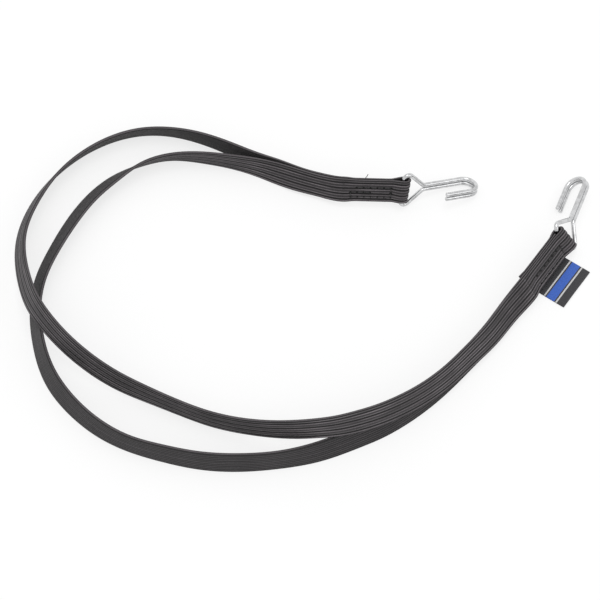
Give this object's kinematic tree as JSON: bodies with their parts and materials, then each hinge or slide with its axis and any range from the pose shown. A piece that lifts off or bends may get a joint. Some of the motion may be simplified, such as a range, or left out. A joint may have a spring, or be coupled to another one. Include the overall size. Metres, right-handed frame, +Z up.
{
  "type": "elastic tie-down strap",
  "caption": "Flat elastic webbing strap, doubled side by side, sewn round a bent wire hook at each end, with a small cloth label, lying in a loose curve.",
  "frame": {"origin": "middle of the bounding box in plan, on the table that the strap lies on", "axes": "+X to the right along the longest extent, with both hooks at the right, +Y away from the viewer of the picture, +Z up from the table"},
  "size_m": [0.3446, 0.2292, 0.0324],
  "materials": {
    "webbing": "black woven elastic webbing, ribbed lengthways",
    "core_rubber": "cut rubber thread",
    "sewing_thread": "black polyester thread",
    "hook_wire": "bright zinc or nickel plated steel wire",
    "label_cloth": "woven label, black ground with plain blue and white stripes"
  },
  "bodies": {
    "strap": {"outer_strand": "webbing", "outer_core_1": "core_rubber", "outer_core_2": "core_rubber", "outer_core_3": "core_rubber", "outer_core_4": "core_rubber", "outer_core_5": "core_rubber", "inner_strand": "webbing", "inner_core_1": "core_rubber", "inner_core_2": "core_rubber", "inner_core_3": "core_rubber", "inner_core_4": "core_rubber", "inner_core_5": "core_rubber", "left_fold": "webbing", "left_needle_thread": "sewing_thread", "left_bobbin_thread": "sewing_thread"},
    "right_end": {"right_fold": "webbing", "right_tail": "webbing", "label": "label_cloth", "right_needle_thread": "sewing_thread", "right_bobbin_thread": "sewing_thread"},
    "left_hook": {"left_hook": "hook_wire"},
    "right_hook": {"right_hook": "hook_wire"}
  },
  "joints": [
    {"name": "left_hook_swing", "type": "hinge", "parent": "strap", "child": "left_hook", "pos_m": [0.05901, 0.06456, 0.01235], "axis": [0.1004, 0.3684, 0.9242], "range_deg": [-141, 89]},
    {"name": "webbing_stretch", "type": "slide", "parent": "strap", "child": "right_end", "axis": [0.5878, 0.809, 0], "range_m": [0, 0.24], "stiffness_N_per_m": 150, "deforming": ["outer_strand", "inner_strand", "outer_core_1", "outer_core_2", "outer_core_3", "outer_core_4", "outer_core_5", "inner_core_1", "inner_core_2", "inner_core_3", "inner_core_4", "inner_core_5"]},
    {"name": "right_hook_swing", "type": "hinge", "parent": "right_end", "child": "right_hook", "pos_m": [0.15401, 0.03099, 0.01065], "axis": [-0.5839, 0.2309, 0.7783], "range_deg": [-124, 105]}
  ]
}
